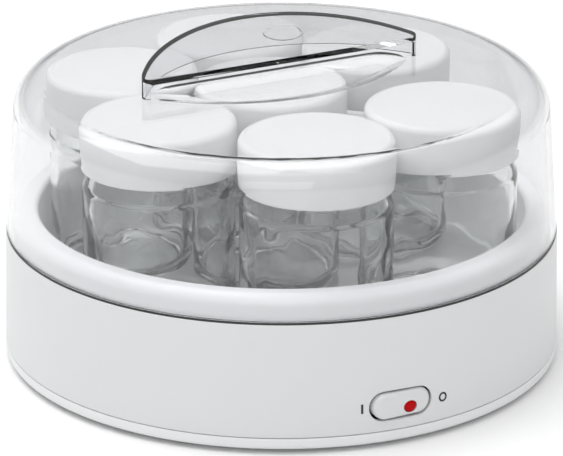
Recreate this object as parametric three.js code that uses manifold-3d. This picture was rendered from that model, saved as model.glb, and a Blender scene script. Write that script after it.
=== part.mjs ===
// Electric yogurt maker: a round heated base, a rimmed tub that holds seven screw-capped
// glass jars, and a clear lid with a raised half-moon grip. Millimetres, +Z up.
// The origin is the centre of the footprint, on the surface that the feet stand on.
// The rocker switch is at the front (-Y) and the cord gland at the back (+Y).

import * as THREE from 'three';
import { mergeVertices } from 'three/addons/utils/BufferGeometryUtils.js';
import Module from 'manifold-3d';

const wasm = await Module();
wasm.setup();

// ---- driving dimensions -------------------------------------------------------------

const GAP = 0.3;                // air left between pieces that touch
const WALL = 2.5;               // housing wall

const FOOT_R = 7.9;
const FOOT_PROUD = 2;           // how far the feet lift the base plate
const FOOT_SEAT = 1;            // depth of the seats for the feet
const FOOT_RING = 92;           // radius of the circle that the feet stand on
const POST_RING = 111.3;        // radius of the circle of screw posts
const POST_R = 3.2;
const CORNERS = [45, 135, 225, 315];
const SCREW_R = 1.5;            // shank of the base screws
const SCREW_HEAD_R = 3.2;

const BASE_R = 121;             // outer radius at the bottom of the housing
const SEAM_R = 120;             // outer radius where the lid meets the housing
const PLATE_TOP = 7.2;          // height of the joint between base plate and housing
const PLATE_FLOOR = 4.2;        // upper side of the base plate
const PLATE_EDGE = 2;           // rounding of the base plate's lower edge
const LOCATOR_R = 117.6;        // ring of the base plate that sits inside the housing
const LOCATOR_TOP = 10.5;
const SEAM_Z = 58;              // height of the joint between housing and lid

const TUB_R = 105.6;            // inner radius of the tub
const TUB_WALL = 2;
const TUB_FLOOR = 29.3;         // top of the tub's floor ledge
const TUB_HOLE_R = 88;
const RIM_TOP = 69;
const RIM_R = 116.4;
const RIM_ROUND = 5.6;          // outer rounding of the rim
const RIM_LIP = 2.4;            // inner rounding of the rim
const RIM_CEILING = 65;         // underside of the rim
const RIM_WALL_R = 114;         // inside of the rim's outer wall

const HEAT_PLATE_R = 101.5;
const HEAT_PLATE_T = 1.2;
const ELEMENT_RING = 62;
const ELEMENT_R = 1.6;
const LEAD_HOLE_Y = ELEMENT_RING - 0.6;
const LEAD_X = 8.6;             // the element's ends, each side of the middle
const LEAD_R = 1.1;
const SHIELD_Z = 22.6;
const SHIELD_T = 0.8;
const SHIELD_SCREW_RING = 91.5;
const SHIELD_SCREWS = [30, 150, 270];
const FUSE_Y = 30;
const FUSE_R = 2.2;
const FUSE_HALF = 11;           // half the fuse's length
const TERMINAL_Y = 92;

const JAR_R = 32.3;
const JAR_PLACES = [            // the jars are loose and stand a little unevenly
  [-2.7, 5.1],
  [-14.4, -67.0],
  [51.2, -51.8],
  [59.3, 30.2],
  [7.1, 72.5],
  [-55.1, 47.5],
  [-65.3, -18.7],
];
const JAR_FOOT_Z = TUB_FLOOR + HEAT_PLATE_T + 2 * GAP;
const JAR_WALL = 3;
const SHOULDER_Z = 91.5;
const NECK_Z = 97;
const NECK_R = 29.4;
const NECK_WALL = 2.6;
const NECK_TOP = 116.4;
const CAP_R = 33;
const CAP_TOP = 119;
const CAP_BOTTOM = 99.9;
const CAP_WALL = 2.1;

const LID_T = 2.4;
const LID_R = 119.7;            // outer radius of the lid's lower edge
const LID_SHOULDER = 13;        // radius of the rounding between wall and top
const LID_SHOULDER_R = 102.9;   // radius where the flat top begins
const LID_TOP = 124.6;
const LID_TURN = 3.3;           // the lid may be set down at any bearing

const GRIP_HALF = 69;           // half the straight side of the half-moon
const GRIP_DEPTH = 40;
const GRIP_FRONT = -2.7;        // the straight side lies just in front of the axis
const GRIP_CORNER = 3.5;
const GRIP_Z = 133.5;           // height of the top's front edge
const GRIP_RISE = 0.2;          // slope of the top, up towards the back
const SCOOP_HALF = 61;          // shallow finger scoop in front of the grip
const SCOOP_DEPTH = 27;
const SCOOP_DROP = 2.2;
const SCOOP_BACK = 12;          // how far the scoop runs in under the grip
const SCOOP_CORNER = 13;
const SCOOP_SIDE = 4;           // width of its sloping side

const SWITCH_Z = 18.5;
const SWITCH_SLOT = [28.8, 13.0];
const ROCKER = [27.4, 11.9];
const ROCKER_FACE_R = 122;
const ROCKER_PIVOT_Y = -115;
const TRUNNION_R = 1.1;
const SOCKET_BACK = -97;        // the back of the switch's socket
const ROCKER_TILT = 5;          // the O side is pressed in
const LENS_R = 2.8;
const LENS_AT = [3.3, -1.6];    // across and up from the middle of the rocker

const GLAND_Z = 20;
const GLAND_R = 5.2;
const GLAND_FLANGE_R = 7.5;
const GLAND_BORE_R = 3.3;

const ROUND = 48;               // segments of the large round pieces
const JAR_ROUND = 20;           // segments of the jars and their caps

// ---- tools --------------------------------------------------------------------------

const rad = THREE.MathUtils.degToRad;
const v2 = (x, y) => new THREE.Vector2(x, y);
const onCircle = (radius, bearing) => [radius * Math.cos(rad(bearing)), radius * Math.sin(rad(bearing))];
const aroundCorners = (ring) => CORNERS.map((bearing) => [...onCircle(ring, bearing), 0]);

// A three.js geometry as a manifold solid, with its vertices merged and faces outward.
function solid(geometry) {
  const bare = geometry.clone();
  bare.deleteAttribute('normal');
  bare.deleteAttribute('uv');
  const merged = mergeVertices(bare, 1e-4);
  const points = merged.attributes.position;
  const index = merged.index.array;
  const triVerts = [];
  let volume = 0;
  const [a, b, c] = [new THREE.Vector3(), new THREE.Vector3(), new THREE.Vector3()];
  for (let i = 0; i < index.length; i += 3) {
    const [p, q, r] = [index[i], index[i + 1], index[i + 2]];
    if (p === q || q === r || p === r) continue;
    triVerts.push(p, q, r);
    a.fromBufferAttribute(points, p);
    b.fromBufferAttribute(points, q);
    c.fromBufferAttribute(points, r);
    volume += a.dot(b.cross(c));
  }
  if (volume < 0) triVerts.reverse();
  return new wasm.Manifold(new wasm.Mesh({
    numProp: 3,
    vertProperties: new Float32Array(points.array),
    triVerts: new Uint32Array(triVerts),
  }));
}

// A manifold solid as a three.js geometry.
function toGeometry(shape) {
  const { vertProperties, triVerts } = shape.getMesh();
  const geometry = new THREE.BufferGeometry();
  geometry.setAttribute('position', new THREE.BufferAttribute(vertProperties, 3));
  geometry.setIndex(new THREE.BufferAttribute(triVerts, 1));
  geometry.computeVertexNormals();
  return geometry;
}

const arc = (cx, cy, radius, from, to, steps) => Array.from({ length: steps + 1 }, (_, i) => {
  const angle = rad(from + (to - from) * i / steps);
  return v2(cx + radius * Math.cos(angle), cy + radius * Math.sin(angle));
});

// A solid of revolution about Z from a closed or axis-to-axis profile of [radius, height].
function turned(profile, segments = ROUND) {
  const points = profile.map((p) => (Array.isArray(p) ? v2(...p) : p));
  const closed = points[0].x > 0 ? [...points, points[0].clone()] : points;
  return solid(new THREE.LatheGeometry(closed, segments).rotateX(Math.PI / 2));
}

function rod(radius, low, high, segments = 12) {
  return turned([[0, low], [radius, low], [radius, high], [0, high]], segments);
}

// An outline in XY pushed up from one height to another.
function prism(outline, low, high) {
  const shape = new THREE.Shape(outline);
  const geometry = new THREE.ExtrudeGeometry(shape, { depth: high - low, bevelEnabled: false });
  return solid(geometry.translate(0, 0, low));
}

function block(size, centre) {
  return solid(new THREE.BoxGeometry(...size).translate(...centre));
}

// A round tube along a smooth line through the given points.
function tube(points, radius, steps, sides = 8) {
  const path = new THREE.CatmullRomCurve3(points.map((p) => new THREE.Vector3(...p)));
  const section = new THREE.Shape(arc(0, 0, radius, 0, 360 - 360 / sides, sides - 1));
  return solid(new THREE.ExtrudeGeometry(section, { steps, extrudePath: path, bevelEnabled: false }));
}

// A pill outline, length across X and height across Y.
function pill([length, height], steps = 8) {
  const radius = height / 2;
  const reach = length / 2 - radius;
  return [...arc(reach, 0, radius, -90, 90, steps), ...arc(-reach, 0, radius, 90, 270, steps)];
}

// A pill-shaped bar through the front wall: its outline stands in XZ and it runs along Y.
function frontPill(size, yFront, yBack) {
  return prism(pill(size), -yBack, -yFront).rotate([90, 0, 0]).translate([0, 0, SWITCH_Z]);
}

const finishes = {
  whitePlastic: { color: 0xdcdddf, roughness: 0.45, metalness: 0 },
  rimPlastic: { color: 0xeceef2, roughness: 0.25, metalness: 0 },
  capPlastic: { color: 0xf4f5f8, roughness: 0.4, metalness: 0 },
  clearPlastic: { color: 0xf2f6f5, roughness: 0.05, metalness: 0, transparent: true, opacity: 0.3 },
  glass: { color: 0xdfe7e6, roughness: 0.05, metalness: 0, transparent: true, opacity: 0.35 },
  aluminium: { color: 0xb9bcbe, roughness: 0.4, metalness: 1 },
  steel: { color: 0xa9abad, roughness: 0.35, metalness: 1 },
  rubber: { color: 0x3b3b3d, roughness: 0.8, metalness: 0 },
  blackPlastic: { color: 0x1d1d1f, roughness: 0.5, metalness: 0 },
  redPlastic: { color: 0xb3080c, roughness: 0.15, metalness: 0 },
  mica: { color: 0xcfc4a6, roughness: 0.7, metalness: 0 },
  silicone: { color: 0xd9d2c4, roughness: 0.6, metalness: 0 },
};

const machine = new THREE.Group();

function add(name, shape, finish, parent = machine) {
  const mesh = new THREE.Mesh(toGeometry(shape), new THREE.MeshStandardMaterial(finishes[finish]));
  mesh.name = name;
  parent.add(mesh);
  return mesh;
}

// ---- base ---------------------------------------------------------------------------

// The housing is an open ring: a slightly flared wall with a shelf at its top, on which the
// tub's rim and the lid stand. The screw posts of the tub pass through the shelf.
function housing() {
  const shelf = SEAM_Z - WALL;
  const mouth = TUB_R + TUB_WALL + GAP;
  const chamfer = 0.8;
  let shape = turned([
    [BASE_R - WALL, PLATE_TOP + GAP], [BASE_R, PLATE_TOP + GAP],
    [SEAM_R, SEAM_Z - chamfer], [SEAM_R - chamfer, SEAM_Z],
    [mouth, SEAM_Z], [mouth, shelf], [SEAM_R - WALL, shelf],
  ]);
  for (const at of aroundCorners(POST_RING)) {
    shape = shape.subtract(rod(POST_R + GAP, shelf - 1, SEAM_Z + 1).translate(at));
  }
  shape = shape.subtract(frontPill(SWITCH_SLOT, -BASE_R - 2, -BASE_R + 12));
  const glandHole = rod(GLAND_R + GAP, BASE_R - 20, BASE_R + 9, 16)
    .rotate([-90, 0, 0])
    .translate([0, 0, GLAND_Z]);
  add('base_housing', shape.subtract(glandHole), 'whitePlastic');
}

// The base plate closes the housing from below: a dish with a rounded visible edge, a
// locating ring inside the housing, screw wells and shallow seats for the feet.
function basePlate() {
  const inner = LOCATOR_R - WALL + 0.2;
  let shape = turned([
    [0, FOOT_PROUD],
    ...arc(BASE_R - PLATE_EDGE, FOOT_PROUD + PLATE_EDGE, PLATE_EDGE, -90, 0, 3),
    [BASE_R, PLATE_TOP], [LOCATOR_R, PLATE_TOP], [LOCATOR_R, LOCATOR_TOP],
    [inner, LOCATOR_TOP], [inner, PLATE_FLOOR], [0, PLATE_FLOOR],
  ]);
  const boss = rod(2 * POST_R - 0.4, FOOT_PROUD + 1, PLATE_TOP - 2 * GAP);
  const well = rod(SCREW_HEAD_R + 0.4, 0, PLATE_FLOOR + 0.1);
  const screwHole = rod(SCREW_R + GAP, PLATE_FLOOR - 0.2, PLATE_TOP + 1);
  for (const at of aroundCorners(POST_RING)) {
    shape = shape.add(boss.translate(at)).subtract(well.translate(at)).subtract(screwHole.translate(at));
  }
  const seat = rod(FOOT_R + GAP, 0, FOOT_PROUD + FOOT_SEAT, 16);
  for (const at of aroundCorners(FOOT_RING)) {
    shape = shape.subtract(seat.translate(at));
  }
  add('base_plate', shape, 'whitePlastic');
}

function feetAndScrews() {
  const footTop = FOOT_PROUD + FOOT_SEAT - GAP;
  const chamfer = 0.8;
  const foot = turned([
    [0, 0], [FOOT_R - chamfer, 0], [FOOT_R, chamfer], [FOOT_R, footTop], [0, footTop],
  ], 16);
  const [headFace, headTop, tip] = [2.6, 4, 18.5];
  const screw = turned([
    [0, headFace], [SCREW_HEAD_R - GAP, headFace], [SCREW_HEAD_R, headTop], [SCREW_R, headTop],
    [SCREW_R, tip - SCREW_R], [0, tip],
  ], 12);
  const feet = aroundCorners(FOOT_RING);
  aroundCorners(POST_RING).forEach((at, i) => {
    add(`foot_${i + 1}`, foot.translate(feet[i]), 'rubber');
    add(`base_screw_${i + 1}`, screw.translate(at), 'steel');
  });
}

// ---- tub and heater -----------------------------------------------------------------

// The tub is one moulding: a broad rounded rim, a straight wall, a floor ledge around the
// heating plate, and four screw posts that reach down to the base plate.
function tub() {
  const under = TUB_FLOOR - TUB_WALL;
  const outer = TUB_R + TUB_WALL;
  let shape = turned([
    [TUB_HOLE_R, under], [outer, under], [outer, RIM_CEILING],
    [RIM_WALL_R, RIM_CEILING], [RIM_WALL_R, SEAM_Z + GAP], [RIM_R, SEAM_Z + GAP],
    ...arc(RIM_R - RIM_ROUND, RIM_TOP - RIM_ROUND, RIM_ROUND, 0, 90, 4),
    ...arc(TUB_R + RIM_LIP, RIM_TOP - RIM_LIP, RIM_LIP, 90, 180, 2),
    [TUB_R, TUB_FLOOR], [TUB_HOLE_R, TUB_FLOOR],
  ]);
  const post = rod(POST_R, PLATE_TOP - GAP, RIM_CEILING + 0.5);
  const screwHole = rod(SCREW_R + 0.4, 0, 20);
  for (const at of aroundCorners(POST_RING)) {
    shape = shape.add(post.translate(at)).subtract(screwHole.translate(at));
  }
  const shieldHole = rod(1.5, under - 1, TUB_FLOOR + 1, 8);
  for (const bearing of SHIELD_SCREWS) {
    shape = shape.subtract(shieldHole.translate([...onCircle(SHIELD_SCREW_RING, bearing), 0]));
  }
  add('tub', shape, 'rimPlastic');
}

function heater() {
  const plateZ = TUB_FLOOR + GAP;
  add('heating_plate', rod(HEAT_PLATE_R, plateZ, plateZ + HEAT_PLATE_T, ROUND), 'aluminium');

  // the heating cord: an open ring whose ends point at each other at the back
  const [first, sweep, steps] = [99.5, 341, 24];
  const bearings = Array.from({ length: steps + 1 }, (_, i) => first + sweep * i / steps);
  const z = plateZ - GAP - ELEMENT_R;
  const ring = bearings.map((bearing) => [...onCircle(ELEMENT_RING, bearing), z]);
  add('heating_element', tube(ring, ELEMENT_R, 32, 6), 'silicone');

  const hole = rod(2.6, 0, plateZ, 8);
  const pierce = (shape) => [-LEAD_X, LEAD_X].reduce(
    (rest, x) => rest.subtract(hole.translate([x, LEAD_HOLE_Y, 0])),
    shape,
  );
  add('insulation_disc', pierce(rod(84, SHIELD_Z + 1.7, SHIELD_Z + 3.1, 32)), 'mica');

  const rim = TUB_FLOOR - TUB_WALL - GAP;
  const [panR, flangeR] = [87.3, 95.5];
  let shield = turned([
    [0, SHIELD_Z], [panR, SHIELD_Z], [panR, rim - SHIELD_T], [flangeR, rim - SHIELD_T],
    [flangeR, rim], [panR - SHIELD_T, rim], [panR - SHIELD_T, SHIELD_Z + SHIELD_T],
    [0, SHIELD_Z + SHIELD_T],
  ], 32);
  const [headR, shankR, headTop] = [2.8, 1.2, rim - SHIELD_T - GAP];
  const screw = turned([
    [0, headTop - 1.6], [headR - 0.4, headTop - 1.6], [headR, headTop], [shankR, headTop],
    [shankR, TUB_FLOOR - 2 * GAP], [0, TUB_FLOOR - 2 * GAP],
  ], 8);
  SHIELD_SCREWS.forEach((bearing, i) => {
    const at = [...onCircle(SHIELD_SCREW_RING, bearing), 0];
    shield = shield.subtract(rod(shankR + 0.4, SHIELD_Z, TUB_FLOOR, 8).translate(at));
    add(`shield_screw_${i + 1}`, screw.translate(at), 'steel');
  });
  add('heat_shield', pierce(shield), 'steel');
}

// ---- electrics ----------------------------------------------------------------------

// The fuse in its steel strap, which holds it against the heat shield.
function fuse() {
  const fuseZ = SHIELD_Z - FUSE_R - 2 * GAP;
  const at = [0, FUSE_Y, fuseZ];
  add('thermal_fuse', rod(FUSE_R, -FUSE_HALF, FUSE_HALF, 14).rotate([0, 90, 0]).translate(at), 'mica');

  const inner = FUSE_R + GAP;
  const outer = inner + 0.6;
  const tab = inner + 4;
  const top = SHIELD_Z - GAP - fuseZ;
  const low = top - (outer - inner);
  const strap = [
    v2(inner, top), ...arc(0, 0, inner, 0, -180, 8), v2(-inner, top),
    v2(-tab, top), v2(-tab, low), v2(-outer, low),
    ...arc(0, 0, outer, 180, 360, 8), v2(outer, low), v2(tab, low), v2(tab, top),
  ];
  add('fuse_clip', prism(strap, -4, 4).rotate([90, 0, 90]).translate(at), 'steel');
}

// The four leads run from the terminal block past the switch and the fuse to the element.
function wiring() {
  const blockZ = 9;
  add('terminal_block', block([24, 10, 9], [0, TERMINAL_Y, blockZ]), 'blackPlastic');

  const blockEdge = TERMINAL_Y - 6;
  const fuseEnd = [FUSE_HALF + 0.8, FUSE_Y, SHIELD_Z - 2.8];
  const switchEnd = [10, SOCKET_BACK + 1.8, SWITCH_Z - 1.8];
  const mirror = ([x, y, z]) => [-x, y, z];
  const up = (x) => [14, 19, 24, 28.6].map((z) => [x, LEAD_HOLE_Y, z]);
  const routes = {
    lead_live: [
      [-7, blockEdge, blockZ], [-24, 70, 7], [-48, 20, 6.5], [-46, -40, 6.5], [-20, -84, 8],
      mirror(switchEnd),
    ],
    lead_switched: [switchEnd, [20, -84, 8], [44, -30, 7], [40, 10, 12], [24, 28, 18], fuseEnd],
    lead_element: [mirror(fuseEnd), [-16, 31, 17], [-16, 44, 12], [-11, 57, 11.5], ...up(-LEAD_X)],
    lead_return: [[7, blockEdge, blockZ], [9, 78, 8.5], [9.5, 68, 10], ...up(LEAD_X)],
  };
  for (const [name, points] of Object.entries(routes)) {
    add(name, tube(points, LEAD_R, 18, 6), 'silicone');
  }
}

// The gland is a grommet in the rear wall: a groove between an inner and an outer flange.
function cordGland() {
  const [tail, innerFace, grooveIn, grooveOut, outerFace] = [112, 115, 117.6, 121.2, 122.5];
  const gland = turned([
    [GLAND_BORE_R, tail], [GLAND_R, tail], [GLAND_R, innerFace], [GLAND_FLANGE_R, innerFace],
    [GLAND_FLANGE_R, grooveIn], [GLAND_R, grooveIn], [GLAND_R, grooveOut],
    [GLAND_FLANGE_R, grooveOut], [GLAND_FLANGE_R - 0.6, outerFace], [GLAND_BORE_R, outerFace],
  ], 16);
  add('cord_gland', gland.rotate([-90, 0, 0]).translate([0, 0, GLAND_Z]), 'blackPlastic');
}

// The switch: a socket behind the front wall, a pill-shaped rocker on two trunnions with a
// red lens in it, and a glow lamp behind the lens.
function rockerSwitch() {
  const trunnion = (radius, half) => rod(radius, SWITCH_Z - half, SWITCH_Z + half)
    .translate([0, ROCKER_PIVOT_Y, 0]);
  const [socketFront, depth] = [-116.5, SOCKET_BACK + 116.5];
  const socket = block([34, depth, 16], [0, socketFront + depth / 2, SWITCH_Z])
    .subtract(frontPill([SWITCH_SLOT[0] + 1.2, SWITCH_SLOT[1] + GAP], socketFront - 1, SOCKET_BACK - 3))
    .subtract(trunnion(TRUNNION_R + GAP, SWITCH_SLOT[1] / 2 + 3));
  add('switch_socket', socket, 'blackPlastic');

  const lensAt = [LENS_AT[0], 0, SWITCH_Z + LENS_AT[1]];
  const lensBack = ROCKER_FACE_R - 2.1;
  const lampHole = 2.2;
  const face = rod(ROCKER_FACE_R, 0, 2 * SWITCH_Z, 180);
  const lensRod = (radius, low, high) => rod(radius, low, high, 16).rotate([90, 0, 0]).translate(lensAt);
  const key = frontPill(ROCKER, -ROCKER_FACE_R - 1, ROCKER_PIVOT_Y + 3)
    .intersect(face)
    .add(trunnion(TRUNNION_R, ROCKER[1] / 2 + 1.4))
    .subtract(lensRod(LENS_R + GAP, lensBack - GAP, ROCKER_FACE_R + 3))
    .subtract(lensRod(lampHole, -ROCKER_PIVOT_Y - 5, ROCKER_FACE_R + 3));

  const rocker = new THREE.Group();
  rocker.position.set(0, ROCKER_PIVOT_Y, 0);
  rocker.rotation.z = rad(ROCKER_TILT);
  const fromPivot = [0, -ROCKER_PIVOT_Y, 0];
  add('switch_rocker', key.translate(fromPivot), 'whitePlastic', rocker);
  const lens = lensRod(LENS_R, lensBack, ROCKER_FACE_R).translate(fromPivot);
  add('indicator_lens', lens, 'redPlastic', rocker);
  machine.add(rocker);

  const [lampBack, lampTip] = [100.3, 108.6];
  const lamp = turned([
    [0, lampBack], [2, lampBack], [2, lampTip - 2.6], [1.2, lampTip - 0.6], [0, lampTip],
  ], 12);
  add('indicator_lamp', lamp.rotate([90, 0, 0]).translate(lensAt), 'glass');
  const tab = block([4.8, 3, 0.8], [0, SOCKET_BACK + 1.8, SWITCH_Z]);
  add('switch_terminal_in', tab.translate([-10, 0, 0]), 'steel');
  add('switch_terminal_out', tab.translate([10, 0, 0]), 'steel');
}

// ---- jars ---------------------------------------------------------------------------

function jarGlass() {
  const heel = 2.4;
  const floor = JAR_FOOT_Z + 4;
  return turned([
    [0, JAR_FOOT_Z + 0.9], [JAR_R - 6.3, JAR_FOOT_Z], [JAR_R - heel, JAR_FOOT_Z],
    [JAR_R, JAR_FOOT_Z + heel], [JAR_R, SHOULDER_Z], [NECK_R, NECK_Z], [NECK_R, NECK_TOP],
    [NECK_R - NECK_WALL, NECK_TOP], [NECK_R - NECK_WALL, NECK_Z + 0.5],
    [JAR_R - JAR_WALL, SHOULDER_Z], [JAR_R - JAR_WALL, floor + 2], [0, floor],
  ], JAR_ROUND);
}

function jarCap() {
  const round = 3;
  const ceiling = CAP_TOP - 2;
  const inner = CAP_R - CAP_WALL;
  return turned([
    [0, ceiling], [inner, ceiling], [inner, CAP_BOTTOM], [CAP_R - 0.3, CAP_BOTTOM],
    [CAP_R, CAP_TOP - round], [CAP_R - 1.6, CAP_TOP - 0.9], [CAP_R - 2 * round, CAP_TOP],
    [0, CAP_TOP + 0.2],
  ], JAR_ROUND);
}

function jars() {
  const glass = jarGlass();
  const cap = jarCap();
  JAR_PLACES.forEach(([x, y], i) => {
    const at = [x, y, 0];
    add(`jar_${i + 1}`, glass.translate(at), 'glass');
    add(`jar_cap_${i + 1}`, cap.translate(at), 'capPlastic');
  });
}

// ---- lid ----------------------------------------------------------------------------

// The half-moon outline: a straight front side and a round back, with rounded corners.
// A positive inset draws it smaller by that much all round.
function halfMoon(half, depth, corner, inset) {
  const full = (half * half + depth * depth) / (2 * depth);
  const centreY = GRIP_FRONT + depth - full;
  const radius = full - inset;
  const front = GRIP_FRONT + inset;
  const fillet = Math.max(corner - inset, 1);
  const rise = front + fillet - centreY;
  const reach = Math.sqrt((radius - fillet) ** 2 - rise ** 2);
  const turn = THREE.MathUtils.radToDeg(Math.atan2(rise, reach));
  return [
    ...arc(reach, front + fillet, fillet, -90, turn, 3),
    ...arc(0, centreY, radius, turn, 180 - turn, 18).slice(1, -1),
    ...arc(-reach, front + fillet, fillet, 180 - turn, 270, 3),
  ];
}

// The scoop: lens-shaped in front of the grip's straight side, round-ended under it.
function scoopOutline(inset) {
  const half = SCOOP_HALF - inset;
  const depth = SCOOP_DEPTH - inset;
  const corner = SCOOP_CORNER - inset;
  const back = SCOOP_BACK - inset - corner;
  const radius = (half * half + depth * depth) / (2 * depth);
  const centreY = GRIP_FRONT - depth + radius;
  const turn = THREE.MathUtils.radToDeg(Math.asin(half / radius));
  return [
    ...arc(0, centreY, radius, 270 - turn, 270 + turn, 14),
    ...arc(half - corner, back, corner, 0, 90, 4),
    ...arc(corner - half, back, corner, 90, 180, 4),
  ];
}

// A shallow bowl with sloping sides under a level top.
function scoop(top) {
  const at = (inset, z) => scoopOutline(inset).map(([x, y]) => [x, y, z]);
  const bowl = wasm.Manifold.hull([...at(1, top), ...at(1 + SCOOP_SIDE, top - SCOOP_DROP)]);
  return bowl.add(prism(scoopOutline(1), top - 0.01, top + 1));
}

// Everything under the grip's top, which slopes up from its front edge.
function underTop(drop) {
  const tilt = THREE.MathUtils.radToDeg(Math.atan(GRIP_RISE));
  return block([400, 400, 400], [0, 0, -200])
    .rotate([tilt, 0, 0])
    .translate([0, GRIP_FRONT, GRIP_Z - drop]);
}

// A full solid of the lid's dome: its outside with thickness 0, its hollow with LID_T.
function dome(inset, bottom) {
  const centreZ = LID_TOP - LID_SHOULDER;
  return turned([
    [0, bottom], [LID_R - inset, bottom],
    ...arc(LID_SHOULDER_R, centreZ, LID_SHOULDER - inset, 4, 90, 5),
    [0, LID_TOP - inset],
  ]);
}

// The grip is a half-moon plate on a wall along its round back. It is open at the front, so
// that fingers can reach in under it over the scoop.
function lid() {
  const bottom = SEAM_Z + GAP;
  const above = GRIP_Z + GRIP_DEPTH;
  const moon = (inset, low) => prism(halfMoon(GRIP_HALF, GRIP_DEPTH, GRIP_CORNER, inset), low, above);
  const grip = moon(0, LID_TOP - LID_T).intersect(underTop(0));
  const room = moon(LID_T, LID_TOP);
  const pocket = room.add(room.translate([0, -2 * LID_T, 0])).intersect(underTop(LID_T));
  const outside = dome(0, bottom).add(grip).subtract(pocket).subtract(scoop(LID_TOP));
  const hollow = dome(LID_T, bottom - 1).subtract(scoop(LID_TOP - LID_T));
  const group = new THREE.Group();
  group.rotation.z = rad(LID_TURN);
  add('lid', outside.subtract(hollow), 'clearPlastic', group);
  machine.add(group);
}

housing();
basePlate();
feetAndScrews();
tub();
heater();
fuse();
wiring();
cordGland();
rockerSwitch();
jars();
lid();

export default machine;
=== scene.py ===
"""The looks of a round yogurt maker with seven jars, built around its CAD frame.

Sizes are in millimetres until a mesh is made, in the CAD's own frame: +Z up, front towards -Y.
"""

import math

import bmesh
import bpy
from mathutils import Matrix, Vector


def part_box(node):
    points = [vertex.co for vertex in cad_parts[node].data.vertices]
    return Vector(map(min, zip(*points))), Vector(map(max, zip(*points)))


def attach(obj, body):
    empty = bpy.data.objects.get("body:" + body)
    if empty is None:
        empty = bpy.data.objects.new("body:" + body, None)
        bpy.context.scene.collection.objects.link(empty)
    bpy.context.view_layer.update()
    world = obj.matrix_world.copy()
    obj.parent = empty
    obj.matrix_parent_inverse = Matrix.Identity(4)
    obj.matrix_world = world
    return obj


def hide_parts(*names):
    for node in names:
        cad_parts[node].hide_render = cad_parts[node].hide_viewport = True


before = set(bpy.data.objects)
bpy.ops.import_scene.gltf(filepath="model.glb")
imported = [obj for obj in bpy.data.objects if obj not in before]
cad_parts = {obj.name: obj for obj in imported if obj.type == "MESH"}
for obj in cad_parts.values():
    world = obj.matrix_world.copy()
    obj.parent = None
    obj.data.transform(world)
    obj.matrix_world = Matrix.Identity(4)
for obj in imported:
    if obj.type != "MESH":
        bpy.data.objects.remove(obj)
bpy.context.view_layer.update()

# ---- sizes --------------------------------------------------------------------------

MM = 0.001
BIG = 256                       # segments round the base and the lid
JAR = 112                       # segments round a jar and its cap
QUARTER = [math.radians(15 * i) for i in range(7)]      # the turns of a rounded edge

BASE_R, SEAM_R, SEAM_Z = 121.0, 120.0, 58.0
PLATE_BOTTOM, PLATE_TOP, PLATE_FLOOR = 2.0, 7.2, 4.2
LOCATOR_R, LOCATOR_INNER, LOCATOR_TOP = 117.6, 115.3, 10.5
HOUSING_T, SEAM_GAP = 2.5, 0.3
JOINT_R, JOINT_DROP = 117.2, 0.6    # the step in the housing's top edge, under the lid
FLANGE_R = 107.9                # inner edge of the housing's top
GLAND_Z = 20
CORNERS = (45, 135, 225, 315)
POST_RING, FOOT_RING = 111.3, 92.0

TUB_R, TUB_T, TUB_FLOOR, TUB_HOLE_R = 105.6, 2, 29.3, 88.0
RIM_R, RIM_SKIRT_R, RIM_TOP = 116.4, 114, 69.0
SHIELD_SCREW_RING, SHIELD_SCREW_BEARINGS = 91.5, (30, 150, 270)
THREAD_TURNS, THREAD_PITCH = 1.4, 3.6

LID_T, LID_R, LID_TOP = 2.4, 119.7, 124.6
LID_SHOULDER, LID_SHOULDER_R = 13.0, 102.9
LID_TURN = math.radians(3.3)
GRIP_HALF, GRIP_DEPTH, GRIP_FRONT, GRIP_CORNER = 69.0, 40.0, -2.7, 3.5
GRIP_Z, GRIP_RISE = 133.5, 0.2
RING_X, RING_Y, RING_R = 10.0, 18.0, (8.2, 9.2)     # a plain raised ring on the grip
SCOOP_HALF, SCOOP_DEPTH, SCOOP_DROP, SCOOP_SIDE = 61.0, 27.0, 1.9, 11.0
SCOOP_BACK, SCOOP_CORNER = 12.0, 13.0
GRIP_WALL = 1.3                 # the grip's upright walls are thinner than the rest of the lid

SWITCH_Z = 18.5
SLOT, KEY = (28.8, 13.0), (27.4, 11.9)
KEY_GAP, KEY_ROUND, KEY_DIP = 0.25, 1.9, 0.25
KEY_FACE_R, PIVOT_Y, KEY_TILT = 121.9, -115.0, math.radians(5)
LENS_R, LENS_X, LENS_Z = 2.8, 3.3, -1.6
LENS_WIDE, LENS_HIGH = 1.02, 0.86   # the lens is slightly oval

CAMERA_AZIMUTH, CAMERA_ELEVATION = math.radians(-24.4), math.radians(20.65)
CAMERA_ROLL = math.radians(0.1)
CAMERA_DISTANCE, CAMERA_LENS, AIM_DROP = 1800.0, 263.7655, 3.0545

# ---- mesh tools ---------------------------------------------------------------------


def link(name, data):
    obj = bpy.data.objects.new(name, data)
    bpy.context.scene.collection.objects.link(obj)
    return obj


def from_points(name, points, faces):
    """An object from points in mm. Its faces are turned outward."""
    mesh = bpy.data.meshes.new(name)
    mesh.from_pydata([tuple(MM * c for c in p) for p in points], [], faces)
    bm = bmesh.new()
    bm.from_mesh(mesh)
    bmesh.ops.recalc_face_normals(bm, faces=bm.faces)
    bm.to_mesh(mesh)
    bm.free()
    return link(name, mesh)


def arc(cx, cy, radius, start, end, steps):
    """Points on an arc, angles in degrees."""
    turns = [math.radians(start + (end - start) * i / steps) for i in range(steps + 1)]
    return [(cx + radius * math.cos(t), cy + radius * math.sin(t)) for t in turns]


def circle(radius, segments, at=(0, 0)):
    return arc(*at, radius, 0, 360 - 360 / segments, segments - 1)


def rectangle(wide, deep):
    x, y = wide / 2, deep / 2
    return [(-x, -y), (x, -y), (x, y), (-x, y)]


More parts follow.
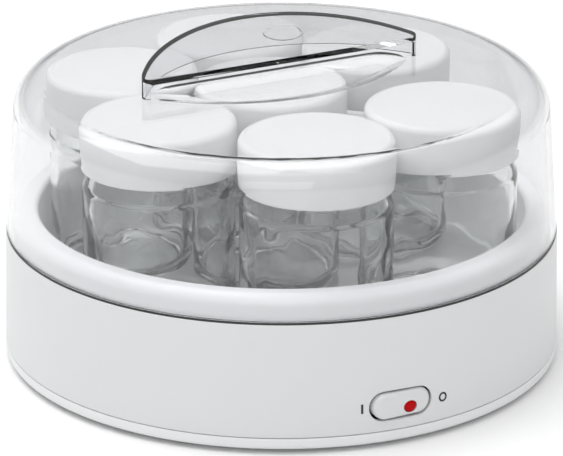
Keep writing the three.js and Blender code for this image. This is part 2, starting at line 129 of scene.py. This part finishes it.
def filleted(corners, steps=6):
    """A closed outline. A corner given as (x, y, radius) becomes an arc of that radius."""
    out = []
    for i, corner in enumerate(corners):
        here = Vector(corner[:2])
        if len(corner) < 3:
            out.append(tuple(here))
            continue
        before = Vector(corners[i - 1][:2]) - here
        after = Vector(corners[(i + 1) % len(corners)][:2]) - here
        half = before.angle(after) / 2
        reach = min(corner[2] / math.tan(half), 0.49 * before.length, 0.49 * after.length)
        radius = reach * math.tan(half)
        middle = (before.normalized() + after.normalized()).normalized()
        centre = here + middle * (radius / math.sin(half))
        first = here + before.normalized() * reach - centre
        last = here + after.normalized() * reach - centre
        a = math.degrees(math.atan2(first.y, first.x))
        sweep = (math.degrees(math.atan2(last.y, last.x)) - a + 180) % 360 - 180
        out += arc(centre.x, centre.y, radius, a, a + sweep, steps)
    return out


def lathe(name, profile, segments, swell=None, closed=True):
    """A turned solid from a profile of (radius, z). swell(turn, r, z) can change a radius."""
    points, rings = [], []
    for r, z in profile:
        if r < 1e-6:
            rings.append([len(points)])
            points.append((0, 0, z))
            continue
        ring = []
        for i in range(segments):
            turn = 2 * math.pi * i / segments
            radius = r + (swell(turn, r, z) if swell else 0)
            ring.append(len(points))
            points.append((radius * math.cos(turn), radius * math.sin(turn), z))
        rings.append(ring)
    faces = []
    pairs = list(zip(rings, rings[1:]))
    if closed and (len(rings[0]) > 1 or len(rings[-1]) > 1):
        pairs.append((rings[-1], rings[0]))
    for low, high in pairs:
        for i in range(segments):
            j = (i + 1) % segments
            if len(low) == 1 and len(high) == 1:
                continue
            if len(low) == 1:
                faces.append((low[0], high[j], high[i]))
            elif len(high) == 1:
                faces.append((low[i], low[j], high[0]))
            else:
                faces.append((low[i], low[j], high[j], high[i]))
    return from_points(name, points, faces)


def stacked(name, loops):
    """A closed solid through loops of equal length, with the first and last loop filled."""
    n = len(loops[0])
    points = [p for loop in loops for p in loop]
    faces = [tuple(range(n)), tuple(range(len(points) - n, len(points)))]
    for k in range(len(loops) - 1):
        for i in range(n):
            j = (i + 1) % n
            faces.append((k * n + i, k * n + j, (k + 1) * n + j, (k + 1) * n + i))
    return from_points(name, points, faces)


def prism(name, outline, low, high):
    return stacked(name, [[(x, y, low) for x, y in outline], [(x, y, high) for x, y in outline]])


def rod(name, radius, low, high, at=(0, 0), segments=48):
    return prism(name, circle(radius, segments, at), low, high)


def rods(name, radius, low, high, places):
    return [rod(name, radius, low, high, at) for at in places]


def settle(obj):
    """The object's modifiers become part of its mesh."""
    depsgraph = bpy.context.evaluated_depsgraph_get()
    mesh = bpy.data.meshes.new_from_object(obj.evaluated_get(depsgraph))
    obj.modifiers.clear()
    obj.data = mesh
    return obj


def combine(obj, operation, *others):
    for other in others:
        modifier = obj.modifiers.new("combine", "BOOLEAN")
        modifier.operation = operation
        modifier.solver = "EXACT"
        modifier.object = other
        settle(obj)
        bpy.data.objects.remove(other)
    return obj


def soften(obj, width, near=None, steps=3, over=30):
    """Rounds the sharp edges, or those whose middle passes the test near(x, y, z) in mm."""
    bm = bmesh.new()
    bm.from_mesh(obj.data)
    bmesh.ops.remove_doubles(bm, verts=bm.verts, dist=1e-6)
    bmesh.ops.dissolve_limit(bm, angle_limit=math.radians(0.2), verts=bm.verts, edges=bm.edges)
    limit = math.radians(over)
    picked = []
    for edge in bm.edges:
        if len(edge.link_faces) != 2 or edge.calc_face_angle(0) < limit:
            continue
        middle = (edge.verts[0].co + edge.verts[1].co) / 2 / MM
        if near is None or near(*middle):
            picked.append(edge)
    bmesh.ops.bevel(
        bm, geom=picked, offset=width * MM, offset_type="OFFSET", segments=steps,
        profile=0.5, affect="EDGES", clamp_overlap=True, loop_slide=True,
    )
    bm.to_mesh(obj.data)
    bm.free()
    return obj


def smooth(obj, angle=32):
    for polygon in obj.data.polygons:
        polygon.use_smooth = True
    obj.data.set_sharp_from_angle(angle=math.radians(angle))
    return obj


def flat_where_flat(obj):
    """Large faces keep their own normal next to small rounded ones."""
    modifier = obj.modifiers.new("normals", "WEIGHTED_NORMAL")
    modifier.keep_sharp = True
    modifier.weight = 100
    return settle(obj)


def around(ring, bearings=CORNERS):
    return [(ring * math.cos(math.radians(b)), ring * math.sin(math.radians(b))) for b in bearings]


def centre_of(node):
    low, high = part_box(node)
    return (low + high) / 2


def piece(obj, material, body, slot, *nodes):
    """obj takes the place of CAD nodes and moves with their body. Light passes the clear ones."""
    obj.visible_shadow = material not in (LID, GLASS, LAMP)
    obj.data.materials.clear()
    obj.data.materials.append(material)
    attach(obj, body)
    if nodes:
        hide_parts(*nodes)
    return obj


# ---- materials ----------------------------------------------------------------------


class Nodes:
    """A short way to write a node tree."""

    def __init__(self, name):
        self.material = bpy.data.materials.new(name)
        self.material.use_nodes = True
        self.tree = self.material.node_tree
        self.shader = self.tree.nodes["Principled BSDF"]
        self.coordinates = self.add("ShaderNodeTexCoord").outputs["Object"]

    def add(self, kind, **settings):
        node = self.tree.nodes.new(kind)
        for key, value in settings.items():
            setattr(node, key, value)
        return node

    def noise(self, scale, detail=3.0, stretch=None):
        """Noise with features of about 1 / scale metres, drawn out along an axis by stretch."""
        source = self.coordinates
        if stretch:
            mapping = self.add("ShaderNodeMapping")
            mapping.inputs["Scale"].default_value = stretch
            self.tree.links.new(source, mapping.inputs["Vector"])
            source = mapping.outputs["Vector"]
        node = self.add("ShaderNodeTexNoise")
        node.inputs["Scale"].default_value = scale
        node.inputs["Detail"].default_value = detail
        self.tree.links.new(source, node.inputs["Vector"])
        return node.outputs["Fac"]

    def ranged(self, value, low, high):
        node = self.add("ShaderNodeMapRange")
        node.inputs["To Min"].default_value = low
        node.inputs["To Max"].default_value = high
        self.tree.links.new(value, node.inputs["Value"])
        return node.outputs["Result"]

    def mixed(self, value, first, second):
        node = self.add("ShaderNodeMix", data_type="RGBA")
        self.tree.links.new(value, node.inputs["Factor"])
        # the colour sockets come after the float and vector ones
        node.inputs[6].default_value = (*first, 1)
        node.inputs[7].default_value = (*second, 1)
        return node.outputs[2]

    def bumped(self, height, strength, distance):
        """Bump of the given depth in metres."""
        node = self.add("ShaderNodeBump")
        node.inputs["Strength"].default_value = strength
        node.inputs["Distance"].default_value = distance
        self.tree.links.new(height, node.inputs["Height"])
        self.tree.links.new(node.outputs["Normal"], self.shader.inputs["Normal"])

    def into(self, socket, value):
        self.tree.links.new(value, self.shader.inputs[socket])

    def fix(self, **values):
        for key, value in values.items():
            self.shader.inputs[key.replace("_", " ")].default_value = value


def plastic(name, colour, roughness, grain=0.00002, grain_scale=2600, tint=0.015, **fixed):
    """Moulded plastic: cloudy colour, uneven gloss and a fine grain."""
    nodes = Nodes(name)
    darker = tuple(c * (1 - tint) for c in colour)
    nodes.into("Base Color", nodes.mixed(nodes.noise(22), darker, colour))
    nodes.into("Roughness", nodes.ranged(nodes.noise(60, 4), roughness * 0.85, roughness * 1.15))
    nodes.bumped(nodes.noise(grain_scale, 2), 0.35, grain)
    nodes.fix(**fixed)
    return nodes.material


def clear(name, colour, ior, roughness, wave, wave_scale):
    """A clear moulded or pressed material, with slow waves in its surface."""
    nodes = Nodes(name)
    darker = tuple(c * 0.985 for c in colour)
    nodes.into("Base Color", nodes.mixed(nodes.noise(14), darker, colour))
    nodes.into("Roughness", nodes.ranged(nodes.noise(90, 5), roughness * 0.5, roughness * 1.5))
    nodes.bumped(nodes.noise(wave_scale, 1), 0.25, wave)
    nodes.fix(IOR=ior, Transmission_Weight=1.0)
    return nodes.material


def metal(name, colour, roughness, stretch, scale):
    """Metal with fine marks drawn out along the way it was worked."""
    nodes = Nodes(name)
    marks = nodes.noise(scale, 5, stretch)
    nodes.into("Base Color", nodes.mixed(marks, tuple(c * 0.9 for c in colour), colour))
    nodes.into("Roughness", nodes.ranged(marks, roughness * 0.8, roughness * 1.25))
    nodes.bumped(marks, 0.3, 0.00002)
    nodes.fix(Metallic=1.0)
    return nodes.material


def turned_metal(name, colour, roughness):
    """Metal with the fine rings that a lathe leaves."""
    nodes = Nodes(name)
    rings = nodes.add("ShaderNodeTexWave", wave_type="RINGS", rings_direction="Z")
    rings.inputs["Scale"].default_value = 260
    rings.inputs["Distortion"].default_value = 1.5
    rings.inputs["Detail"].default_value = 3
    nodes.tree.links.new(nodes.coordinates, rings.inputs["Vector"])
    nodes.into("Base Color", nodes.mixed(nodes.noise(30), tuple(c * 0.92 for c in colour), colour))
    nodes.into("Roughness", nodes.ranged(rings.outputs["Fac"], roughness * 0.8, roughness * 1.3))
    nodes.bumped(rings.outputs["Fac"], 0.25, 0.00003)
    nodes.fix(Metallic=1.0, Anisotropic=0.3)
    return nodes.material


WHITE = plastic("satin_white", (0.68, 0.685, 0.69), 0.36)
# the base plate's copy of the housing's white plastic, painted lighter to make up for the lesser light
# that reaches it low down
PAINTED_LIGHTER_WHITE = plastic("satin_white_painted_lighter", (0.77, 0.775, 0.78), 0.36)
RIM = plastic("glossy_cool_white", (0.945, 0.957, 0.975), 0.2, grain=0.00001)
CAP = plastic("cap_white", (0.895, 0.9, 0.912), 0.34)
KEY_WHITE = plastic("rocker_white", (0.67, 0.675, 0.68), 0.16, grain=0.000005)
BLACK = plastic("black_plastic", (0.02, 0.02, 0.021), 0.45)
RUBBER = plastic("rubber", (0.035, 0.035, 0.037), 0.75, grain=0.00005)
PRINT = plastic("black_print", (0.02, 0.02, 0.021), 0.5)
LENS = plastic("red_lens", (0.44, 0.001, 0.002), 0.25, grain=0.000004, Specular_IOR_Level=0.08)
MICA = plastic("mica", (0.55, 0.48, 0.33), 0.6, grain=0.00006, tint=0.25, grain_scale=900)
SILICONE = plastic("silicone", (0.62, 0.58, 0.49), 0.55, grain=0.00003, tint=0.08)
LID = clear("clear_lid", (0.885, 0.89, 0.895), 1.5, 0.012, 0.0002, 18)
GLASS = clear("jar_glass", (0.99, 0.997, 0.996), 1.5, 0.025, 0.007, 45)
LAMP = clear("lamp_glass", (0.95, 0.8, 0.7), 1.5, 0.05, 0.0002, 400)
ALUMINIUM = turned_metal("turned_aluminium", (0.84, 0.845, 0.85), 0.4)
STEEL = metal("zinc_plate", (0.55, 0.56, 0.57), 0.3, (1, 6, 1), 300)

CAD_LOOKS = {
    "heating_element": SILICONE, "insulation_disc": MICA, "heat_shield": STEEL,
    "shield_screw": STEEL, "thermal_fuse": MICA, "fuse_clip": STEEL, "terminal_block": BLACK,
    "lead": SILICONE, "switch_socket": BLACK, "switch_terminal": STEEL, "indicator_lamp": LAMP,
}

# ---- base ---------------------------------------------------------------------------


def pill(size, inset=0.0, steps=16):
    """The switch's outline: a bar with half-round ends."""
    radius = size[1] / 2 - inset
    reach = (size[0] - size[1]) / 2
    return arc(reach, 0, radius, -90, 90, steps) + arc(-reach, 0, radius, 90, 270, steps)


def on_front(outline, y):
    return [(x, y, SWITCH_Z + z) for x, z in outline]


def wall_r(z):
    """Outer radius of the housing at a height."""
    return BASE_R - (BASE_R - SEAM_R) * (z - PLATE_TOP) / (SEAM_Z - PLATE_TOP)


def to_gland():
    """From a solid turned about Z to one about the cord's way out at the back."""
    return Matrix.Translation((0, 0, GLAND_Z * MM)) @ Matrix.Rotation(-math.pi / 2, 4, "X")


def flared_slot(flare=0.3):
    """A cutter for the switch's slot, which also rounds the slot's outer edge."""
    def face_y(x, z):
        return -math.sqrt(wall_r(z) ** 2 - x * x)

    loops = [on_front(pill(SLOT), -110)]
    for turn in QUARTER:
        outline = pill(SLOT, -flare * (1 - math.cos(turn)))
        depth = flare * (1 - math.sin(turn))
        loops.append([(x, face_y(x, SWITCH_Z + z) + depth, SWITCH_Z + z) for x, z in outline])
    loops.append(on_front(pill(SLOT, -flare), -130))
    return stacked("slot", loops)


def housing():
    rows = [12 + 1.5 * i for i in range(10)] + [30, 36, 42, 48, 53]
    foot, edge, under = PLATE_TOP + SEAM_GAP, SEAM_Z - JOINT_DROP, SEAM_Z - HOUSING_T
    profile = filleted([
        (BASE_R - HOUSING_T, foot), (BASE_R, foot, 0.4), *[(wall_r(z), z) for z in rows],
        (SEAM_R, edge, 0.2), (JOINT_R, edge), (JOINT_R, SEAM_Z), (FLANGE_R, SEAM_Z, 0.3),
        (FLANGE_R, under), (SEAM_R - HOUSING_T, under, 1.0),
    ])
    wall = lathe("housing_wall", profile, BIG)
    gland_hole = rod("gland_hole", 5.5, 105, 130)
    gland_hole.data.transform(to_gland())
    posts = rods("post_hole", 3.5, 50, 60, around(POST_RING))
    combine(wall, "DIFFERENCE", flared_slot(), gland_hole, *posts)
    piece(smooth(wall, 40), WHITE, "base", "housing_white", "base_housing")


def painted_joint_shadow_ring():
    """A thin black ring in the step of the housing's top edge, in the joint under the lid: painted
    shade, a dark thing put where the joint has only shadow.
    """
    inner, outer = JOINT_R + 0.1, SEAM_R - 0.3
    low, high = SEAM_Z - 0.55, SEAM_Z + 0.15
    profile = [(inner, low), (outer, low), (outer, high), (inner, high)]
    piece(smooth(lathe("painted_joint_shadow_ring", profile, BIG)), BLACK, "base", "black_plastic")


def base_dish():
    profile = filleted([
        (0, PLATE_BOTTOM), (BASE_R, PLATE_BOTTOM, 2.2), (BASE_R, PLATE_TOP, 0.4), (LOCATOR_R, PLATE_TOP),
        (LOCATOR_R, LOCATOR_TOP, 0.5), (LOCATOR_INNER, LOCATOR_TOP, 0.5),
        (LOCATOR_INNER, PLATE_FLOOR, 0.5), (0, PLATE_FLOOR),
    ])
    dish = lathe("base_dish", profile, BIG)
    posts = around(POST_RING)
    combine(dish, "UNION", *rods("boss", 6, 3, 6.6, posts))
    wells = rods("well", 3.6, 0, 4.3, posts)
    holes = rods("hole", 1.8, 4, 8, posts)
    seats = rods("seat", 8.2, 0, 3, around(FOOT_RING))
    combine(dish, "DIFFERENCE", *wells, *holes, *seats)
    piece(smooth(dish), PAINTED_LIGHTER_WHITE, "base", "housing_white", "base_plate")


def feet_and_screws():
    foot = filleted([
        (0, 0), (4.6, 0), (5.2, 0.5), (6.6, 0.5), (7.1, 0), (7.9, 0, 0.5), (7.9, 2.7, 0.3), (0, 2.7),
    ], 4)
    screw = filleted([
        (0, 2.6), (2.9, 2.6, 0.5), (3.2, 4, 0.2), (1.5, 4), (1.5, 17), (0, 18.5),
    ], 4)
    for i, (at_foot, at_screw) in enumerate(zip(around(FOOT_RING), around(POST_RING)), 1):
        pad = lathe(f"foot_pad_{i}", foot, 48)
        pad.data.transform(Matrix.Translation((at_foot[0] * MM, at_foot[1] * MM, 0)))
        piece(smooth(pad), RUBBER, "base", "rubber_foot", f"foot_{i}")
        head = lathe(f"cross_screw_{i}", screw, 32)
        for wide, deep in ((3.6, 0.7), (0.7, 3.6)):
            combine(head, "DIFFERENCE", prism("recess", rectangle(wide, deep), 2, 3.6))
        head.data.transform(Matrix.Translation((at_screw[0] * MM, at_screw[1] * MM, 0)))
        piece(smooth(head), STEEL, "base", "plated_steel", f"base_screw_{i}")


def tub():
    outer, foot = TUB_R + TUB_T, SEAM_Z + SEAM_GAP
    profile = filleted([
        (TUB_HOLE_R, TUB_FLOOR - TUB_T), (outer, TUB_FLOOR - TUB_T, 1.5), (outer, 65, 0.5),
        (RIM_SKIRT_R, 65, 3.2), (RIM_SKIRT_R, foot), (RIM_R, foot), (RIM_R, RIM_TOP, 5.6),
        (TUB_R, RIM_TOP, 2.4), (TUB_R, TUB_FLOOR, 1.2), (TUB_HOLE_R, TUB_FLOOR),
    ], 10)
    shape = lathe("tub_moulding", profile, BIG)
    combine(shape, "UNION", *rods("post", 3.2, 6.9, 65.5, around(POST_RING)))
    pilots = rods("pilot", 1.9, 0, 20, around(POST_RING))
    screw_places = around(SHIELD_SCREW_RING, SHIELD_SCREW_BEARINGS)
    screw_holes = rods("screw_hole", 1.5, 20, 35, screw_places)
    combine(shape, "DIFFERENCE", *pilots, *screw_holes)
    piece(smooth(shape), RIM, "base", "tub_white", "tub")


def heating_plate():
    low, high = (corner.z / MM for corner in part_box("heating_plate"))
    profile = filleted([(0, low), (101.5, low, 0.3), (101.5, high, 0.5), (0, high)], 4)
    plate = lathe("turned_plate", profile, 192)
    piece(smooth(plate), ALUMINIUM, "base", "plate_aluminium", "heating_plate")


def gland():
    profile = filleted([
        (3.3, 112), (5.2, 112), (5.2, 115), (7.5, 115, 0.5), (7.5, 117.6, 0.5), (5.2, 117.6),
        (5.2, 121.2), (7.5, 121.2, 0.4), (6.9, 122.5, 0.6), (3.3, 122.5, 0.6),
    ], 4)
    ring = lathe("gland_ring", profile, 64)
    ring.data.transform(to_gland())
    piece(smooth(ring), BLACK, "base", "black_plastic", "cord_gland")


# ---- switch -------------------------------------------------------------------------


def rocker():
    """The key's face is part of a cylinder about the Z axis, with a rounded edge and a slight dip."""
    def across(inset, back):
        """The key's outline at a depth behind its face."""
        outline = pill(KEY, inset)
        return [(x, back - math.sqrt(KEY_FACE_R ** 2 - x * x), SWITCH_Z + z) for x, z in outline]

    loops = [on_front(pill(KEY, KEY_GAP), PIVOT_Y + 3)]
    for turn in QUARTER:
        inset, back = KEY_ROUND * (1 - math.cos(turn)), KEY_ROUND * (1 - math.sin(turn))
        loops.append(across(KEY_GAP + inset, back))
    for inset in (2.8, 3.8, 4.8, 5.7):
        loops.append(across(inset, KEY_DIP * (inset - KEY_ROUND) / KEY[1]))
    key = stacked("rocker_key", loops)
    combine(key, "UNION", rod("trunnion", 1.1, SWITCH_Z - 7.6, SWITCH_Z + 7.6, (0, PIVOT_Y)))

    lens_at = Matrix.Translation((LENS_WIDE * LENS_X * MM, 0, (SWITCH_Z + LENS_Z) * MM))
    oval = Matrix.Diagonal((LENS_WIDE, 1, LENS_HIGH, 1))
    to_lens = lens_at @ oval @ Matrix.Rotation(math.pi / 2, 4, "X")
    for radius, low in ((LENS_R + 0.3, 119.6), (2.2, 110)):
        bore = rod("bore", radius, low, 126)
        bore.data.transform(to_lens)
        combine(key, "DIFFERENCE", bore)
    lens = lathe("lens_dome", [
        (0, 119.9), (LENS_R, 119.9), (LENS_R, 121.35), *arc(0, 113.8, 8.1, 70.5, 90, 6)[1:-1],
        (0, 121.9),
    ], 48)
    lens.data.transform(to_lens)

    pivot = Matrix.Translation((0, PIVOT_Y * MM, 0))
    tilt = pivot @ Matrix.Rotation(KEY_TILT, 4, "Z") @ pivot.inverted()
    for obj in (key, lens):
        obj.data.transform(tilt)
    piece(smooth(key), KEY_WHITE, "rocker", "rocker_white", "switch_rocker")
    piece(smooth(lens), LENS, "rocker", "lens_red", "indicator_lens")


def wrapped(name, outlines, bearing, z):
    """A thin print on the housing: one outline filled, or the band between two."""
    def place(x, up, out):
        radius = wall_r(z + up) + out
        turn = math.radians(bearing) + x / radius
        return (radius * math.cos(turn), radius * math.sin(turn), z + up)

    n = len(outlines[0])
    points = [place(x, up, out) for out in (-0.1, 0.05) for loop in outlines for x, up in loop]
    if len(outlines) == 1:
        faces, joined = [tuple(range(n)), tuple(range(n, 2 * n))], [(0, 1)]
    else:
        faces, joined = [], [(0, 1), (2, 3), (0, 2), (1, 3)]
    for a, b in joined:
        for i in range(n):
            j = (i + 1) % n
            faces.append((a * n + i, a * n + j, b * n + j, b * n + i))
    piece(from_points(name, points, faces), PRINT, "base", "black_plastic")


def marks():
    """The I and O beside the rocker."""
    bar = filleted([(x, up, 0.2) for x, up in rectangle(1.0, 4.2)], 3)
    wrapped("mark_on", [bar], -98.3, 18.6)
    turns = [math.radians(7.5 * i) for i in range(48)]
    band = [[((2.05 - t) * math.cos(a), (2.15 - t) * math.sin(a)) for a in turns] for t in (0, 0.85)]
    wrapped("mark_off", band, -80.5, 17.6)


# ---- jars ---------------------------------------------------------------------------


def thread(wall, low, height, width):
    """A swell that raises a helical ridge on the wall of that radius and fades at both ends."""
    def swell(turn, r, z):
        if abs(r - wall) > 0.01:
            return 0
        best = 0
        for k in range(int(THREAD_TURNS) + 1):
            along = turn / (2 * math.pi) + k
            if along > THREAD_TURNS:
                continue
            fade = min(1, along / 0.12, (THREAD_TURNS - along) / 0.12)
            away = abs(z - low - THREAD_PITCH * along) / width
            best = max(best, fade * max(0, 1 - away * away))
        return height * best
    return swell


def jars():
    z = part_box("jar_1")[0].z / MM
    neck, mouth, inner = 29.4, 26.8, 30.9
    glass = filleted([
        (0, z + 0.9), (23.5, z + 0.9, 2.0), (26, z, 1.2), (30.2, z, 2.0), (32.3, z + 2.6, 2.0),
        (32.3, 91.5, 5.0), (neck + 0.6, 97.2, 1.5), (neck, 98.4),
        *[(neck, 99 + 0.4 * i) for i in range(41)], (neck, 116.4, 0.8), (mouth, 116.4, 0.8),
        (mouth, 98.5, 3.0), (29.3, 92.0, 4.0), (29.3, 36.5, 4.5), (0, z + 4.2),
    ], 6)
    glass_mesh = smooth(lathe("jar_mesh", glass, JAR, thread(neck, 103, 0.75, 1.0)))
    cap = filleted([
        (0, 117), (inner, 117, 0.8), *[(inner, 115.4 - 0.4 * i) for i in range(36)],
        (inner, 99.9, 0.4), (32.7, 99.9, 0.4), *arc(29.9, 116.1, 3.1, 2, 83, 10),
        *arc(0, -1800, 1919.2, 89.1, 90, 8)[:-1], (0, 119.2),
    ], 4)
    cap_mesh = smooth(lathe("cap_mesh", cap, JAR, thread(inner, 103.5, -0.4, 0.9)))
    for i in range(1, 8):
        middle = centre_of(f"jar_{i}")
        for obj_name, source, material, body, slot, node in (
            (f"jar_glass_{i}", glass_mesh, GLASS, f"jar_{i}", "jar_glass", f"jar_{i}"),
            (f"screw_cap_{i}", cap_mesh, CAP, f"cap_{i}", "cap_white", f"jar_cap_{i}"),
        ):
            obj = link(obj_name, source.data)
            obj.location = (middle.x, middle.y, 0)
            obj.rotation_euler.z = math.radians(51 * i)
            piece(obj, material, body, slot, node)
    bpy.data.objects.remove(glass_mesh)
    bpy.data.objects.remove(cap_mesh)


# ---- lid ----------------------------------------------------------------------------


def half_moon(inset):
    """The grip's outline: a straight front side and a round back, with rounded corners."""
    full = (GRIP_HALF ** 2 + GRIP_DEPTH ** 2) / (2 * GRIP_DEPTH)
    centre_y, radius = GRIP_FRONT + GRIP_DEPTH - full, full - inset
    corner = max(GRIP_CORNER - inset, 1)
    front = GRIP_FRONT + inset + corner
    reach = math.sqrt((radius - corner) ** 2 - (front - centre_y) ** 2)
    turn = math.degrees(math.atan2(front - centre_y, reach))
    return (
        arc(reach, front, corner, -90, turn, 12)
        + arc(0, centre_y, radius, turn, 180 - turn, 72)[1:-1]
        + arc(-reach, front, corner, 180 - turn, 270, 12)
    )


def scoop_outline(inset):
    """A round front side and a straight back under the grip, with rounded corners."""
    half, depth = SCOOP_HALF - inset, SCOOP_DEPTH - inset
    corner = SCOOP_CORNER - inset
    back = SCOOP_BACK - inset - corner
    radius = (half * half + depth * depth) / (2 * depth)
    centre_y = GRIP_FRONT - depth + radius
    turn = math.degrees(math.asin(half / radius))
    return (
        arc(0, centre_y, radius, 270 - turn, 270 + turn, 60)
        + arc(half - corner, back, corner, 0, 90, 16)
        + arc(corner - half, back, corner, 90, 180, 16)
    )


def grip_top(y):
    return GRIP_Z + GRIP_RISE * (y - GRIP_FRONT)


def between(name, outline, low, high):
    """A prism between two heights, each a number or a function of y."""
    def at(level, y):
        return level(y) if callable(level) else level
    return stacked(name, [[(x, y, at(level, y)) for x, y in outline] for level in (low, high)])


def dome(name, inset, bottom):
    shoulder = arc(LID_SHOULDER_R, LID_TOP - LID_SHOULDER, LID_SHOULDER - inset, 4, 90, 20)
    profile = [(LID_R - inset, bottom), *shoulder]
    return stacked(name, [[(x, y, z) for x, y in circle(r, BIG)] for r, z in profile])


def scoop(name, top, above, below):
    """A shallow bowl under the level top. Its side is an S, so that it has no hard edge."""
    loops = []
    for i in range(12, -1, -1):
        part = i / 12
        drop = below * (1 - math.cos(math.pi * part)) / 2
        loops.append([(x, y, top - drop + 0.01) for x, y in scoop_outline(SCOOP_SIDE * part)])
    loops.append([(x, y, above) for x, y in scoop_outline(0)])
    return stacked(name, loops)


def lid():
    bottom = SEAM_Z + SEAM_GAP

    def under_top(y):
        return grip_top(y) - LID_T

    shell = dome("lid_shell", 0, bottom)
    combine(shell, "UNION", between("grip", half_moon(0), LID_TOP - LID_T, grip_top))
    for forward in (0, 5):              # the second cut takes the front wall away
        outline = [(x, y - forward) for x, y in half_moon(GRIP_WALL)]
        combine(shell, "DIFFERENCE", between("pocket", outline, LID_TOP, under_top))
    combine(shell, "DIFFERENCE", scoop("scoop", LID_TOP, LID_TOP + 1, SCOOP_DROP))
    inner, outer = RING_R
    ridge = filleted([(inner, -0.5), (outer, -0.5), (outer, 0.3, 0.25), (inner, 0.3, 0.25)], 4)
    ring = lathe("grip_ring", ridge, 96)
    slope = Matrix.Rotation(math.atan(GRIP_RISE), 4, "X")
    at = Matrix.Translation((RING_X * MM, RING_Y * MM, grip_top(RING_Y) * MM))
    ring.data.transform(at @ slope @ Matrix.Diagonal((1, 0.75, 1, 1)))
    combine(shell, "UNION", ring)
    hollow = dome("hollow", LID_T, bottom - 1)
    combine(hollow, "DIFFERENCE", scoop("scoop_wall", LID_TOP - LID_T, LID_TOP, SCOOP_DROP))
    combine(shell, "DIFFERENCE", hollow)
    soften(shell, 0.35, near=lambda x, y, z: z < SEAM_Z + 2, over=35)
    soften(shell, 0.6, near=lambda x, y, z: z > LID_TOP - 0.5, over=35)
    shell.data.transform(Matrix.Rotation(LID_TURN, 4, "Z"))
    smooth(shell, 40)
    flat_where_flat(shell)
    piece(shell, LID, "lid", "clear_lid", "lid")


# ---- stage --------------------------------------------------------------------------


def area_light(name, location, aim_z, size, power):
    """A rectangular light of size (wide, deep) in metres, aimed at a height on the Z axis."""
    data = bpy.data.lights.new(name, "AREA")
    data.shape = "RECTANGLE"
    data.size, data.size_y = size
    data.energy = power
    obj = link(name, data)
    obj.location = location
    aim = Vector((0, 0, aim_z)) - Vector(location)
    obj.rotation_euler = aim.to_track_quat("-Z", "Y").to_euler()


def stage():
    floor = prism("floor", circle(4000, 120), -20, 0)
    nodes = Nodes("floor_white")
    nodes.into("Base Color", nodes.mixed(nodes.noise(3), (0.9, 0.9, 0.9), (0.92, 0.92, 0.92)))
    nodes.into("Roughness", nodes.ranged(nodes.noise(40), 0.7, 0.8))
    floor.data.materials.append(nodes.material)

    world = bpy.data.worlds.new("studio")
    bpy.context.scene.world = world
    world.use_nodes = True
    tree = world.node_tree
    background = tree.nodes["Background"]
    direction = tree.nodes.new("ShaderNodeTexCoord")
    split = tree.nodes.new("ShaderNodeSeparateXYZ")
    ramp = tree.nodes.new("ShaderNodeValToRGB")
    # pale at the horizon, dimmer above it for dark lines in the clear lid, bright overhead
    ramp.color_ramp.elements[0].position = 0.07
    ramp.color_ramp.elements[0].color = (0.72, 0.72, 0.73, 1)
    ramp.color_ramp.elements[1].position = 0.75
    ramp.color_ramp.elements[1].color = (1, 1, 1, 1)
    dim = ramp.color_ramp.elements.new(0.13)
    dim.color = (0.34, 0.34, 0.35, 1)
    tree.links.new(direction.outputs["Generated"], split.inputs["Vector"])
    tree.links.new(split.outputs["Z"], ramp.inputs["Fac"])
    tree.links.new(ramp.outputs["Color"], background.inputs["Color"])
    background.inputs["Strength"].default_value = 1.0

    area_light("overhead", (-0.6, 0.4, 1.9), aim_z=0.05, size=(1.7, 1.7), power=18.5)
    area_light("front", (-0.9, -1.8, 1.0), aim_z=0.06, size=(1.1, 1.1), power=4)
    area_light("strip", (-0.2, -0.6, 1.6), aim_z=0.1, size=(1.2, 0.4), power=1.5)


def camera():
    """A long lens from the front left, a little above."""
    level = math.cos(CAMERA_ELEVATION)
    back = Vector((math.sin(CAMERA_AZIMUTH) * level, -math.cos(CAMERA_AZIMUTH) * level,
                   math.sin(CAMERA_ELEVATION)))
    right = Vector((0, 0, 1)).cross(back).normalized()
    up = back.cross(right)
    centre = Vector((0, 0, SEAM_Z))
    position = centre + back * CAMERA_DISTANCE
    aim = centre - up * AIM_DROP
    data = bpy.data.cameras.new("camera")
    data.sensor_width = 36
    data.lens = CAMERA_LENS
    data.clip_start, data.clip_end = 0.1, 100
    obj = link("camera", data)
    turn = (aim - position).to_track_quat("-Z", "Y")
    obj.rotation_mode = "QUATERNION"
    obj.rotation_quaternion = turn @ Matrix.Rotation(CAMERA_ROLL, 4, "Z").to_quaternion()
    obj.location = position * MM
    bpy.context.scene.camera = obj


housing()
painted_joint_shadow_ring()
base_dish()
feet_and_screws()
tub()
heating_plate()
gland()
rocker()
marks()
jars()
lid()
for node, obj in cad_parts.items():
    looks = [look for start, look in CAD_LOOKS.items() if node.startswith(start)]
    if looks:
        obj.data.materials.clear()
        obj.data.materials.append(looks[0])
stage()
camera()

scene = bpy.context.scene
scene.view_settings.view_transform = "Standard"
scene.cycles.max_bounces = 32
scene.cycles.transmission_bounces = 32
scene.cycles.transparent_max_bounces = 32
